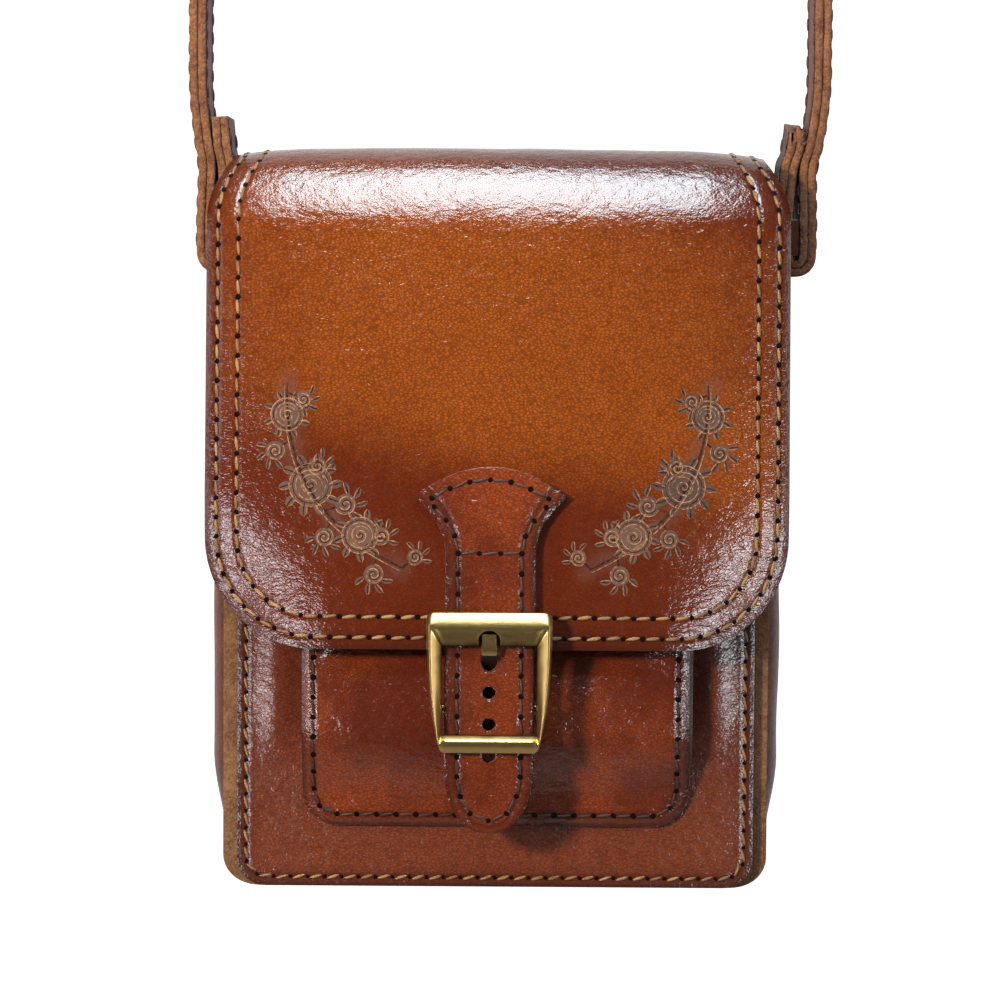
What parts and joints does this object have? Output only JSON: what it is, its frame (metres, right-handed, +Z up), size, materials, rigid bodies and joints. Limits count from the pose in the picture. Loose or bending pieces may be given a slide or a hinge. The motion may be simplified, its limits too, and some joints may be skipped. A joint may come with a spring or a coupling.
{
  "type": "leather shoulder bag",
  "caption": "Small upright leather shoulder bag: full front flap, raised front pocket, brass buckle on a fan-ended strap, and a shoulder strap looped through side bridges.",
  "frame": {"origin": "the point under the crown of the shoulder strap where the bag hangs, in the middle of its width and depth", "axes": "+Z up along the hanging bag, -Y out of the bag's front, +X to the right as seen from the front"},
  "size_m": [0.1779, 0.0823, 0.5533],
  "materials": {
    "flap_leather": "glossy grained leather, burnished darker at the edges",
    "panel_leather": "glossy grained leather, reddish brown",
    "pocket_leather": "glossy grained leather with light creases",
    "gusset_leather": "matt raw-edged leather",
    "strap_leather": "two-layer leather with rough raw edges",
    "antique_brass": "satin antique brass, darker in its recesses"
  },
  "bodies": {
    "root": {"back_and_flap": "flap_leather", "front_panel": "panel_leather", "gusset": "gusset_leather", "pocket_front": "pocket_leather", "pocket_gusset_left": "gusset_leather", "pocket_gusset_right": "gusset_leather", "fastening_strap": "pocket_leather", "buckle_frame": "antique_brass", "buckle_prong": "antique_brass", "buckle_anchor": "gusset_leather", "strap_bridge_left": "strap_leather", "strap_bridge_right": "strap_leather", "shoulder_strap": "strap_leather"}
  },
  "joints": []
}
